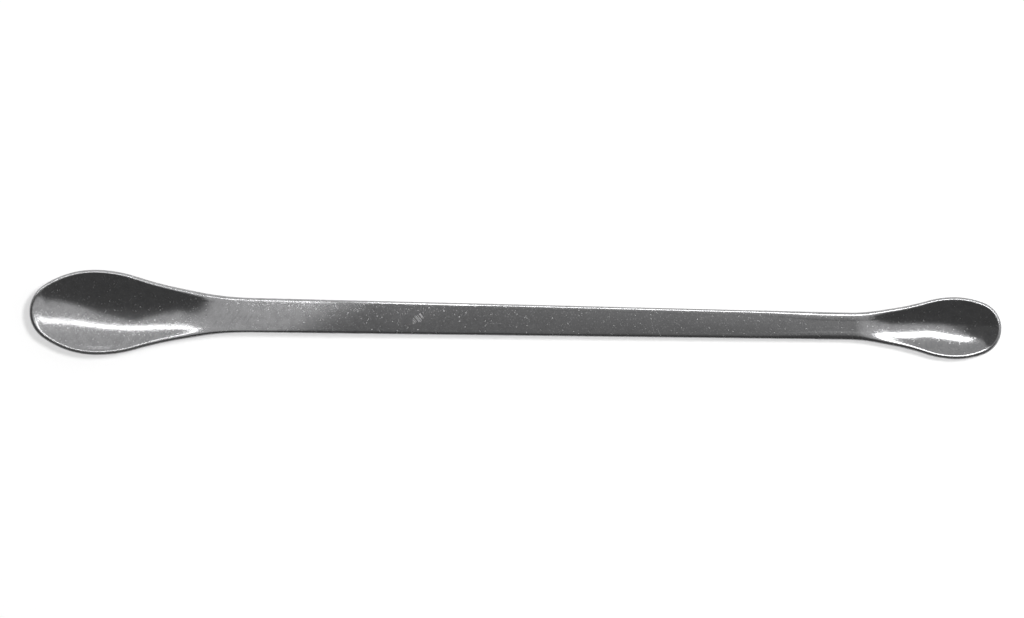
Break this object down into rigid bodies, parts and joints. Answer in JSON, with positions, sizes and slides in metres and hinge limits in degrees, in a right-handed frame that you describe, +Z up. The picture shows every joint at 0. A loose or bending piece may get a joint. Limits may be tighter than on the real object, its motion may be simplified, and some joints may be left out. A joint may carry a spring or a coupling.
{
  "type": "double-ended lab spatula",
  "caption": "Polished steel laboratory spatula with a dished egg-shaped spoon at each end of a flat tapered handle, for scooping and moving small amounts of powder.",
  "frame": {"origin": "centre of the length and width at bench level, where the undersides of both bowls rest", "axes": "+X along the handle towards the small bowl, +Y across the handle, +Z up, the way the hollows face"},
  "size_m": [0.16, 0.0142, 0.0037],
  "materials": {
    "steel": "polished stainless steel with fine wear scratches"
  },
  "bodies": {
    "root": {"spatula": "steel"}
  },
  "joints": []
}
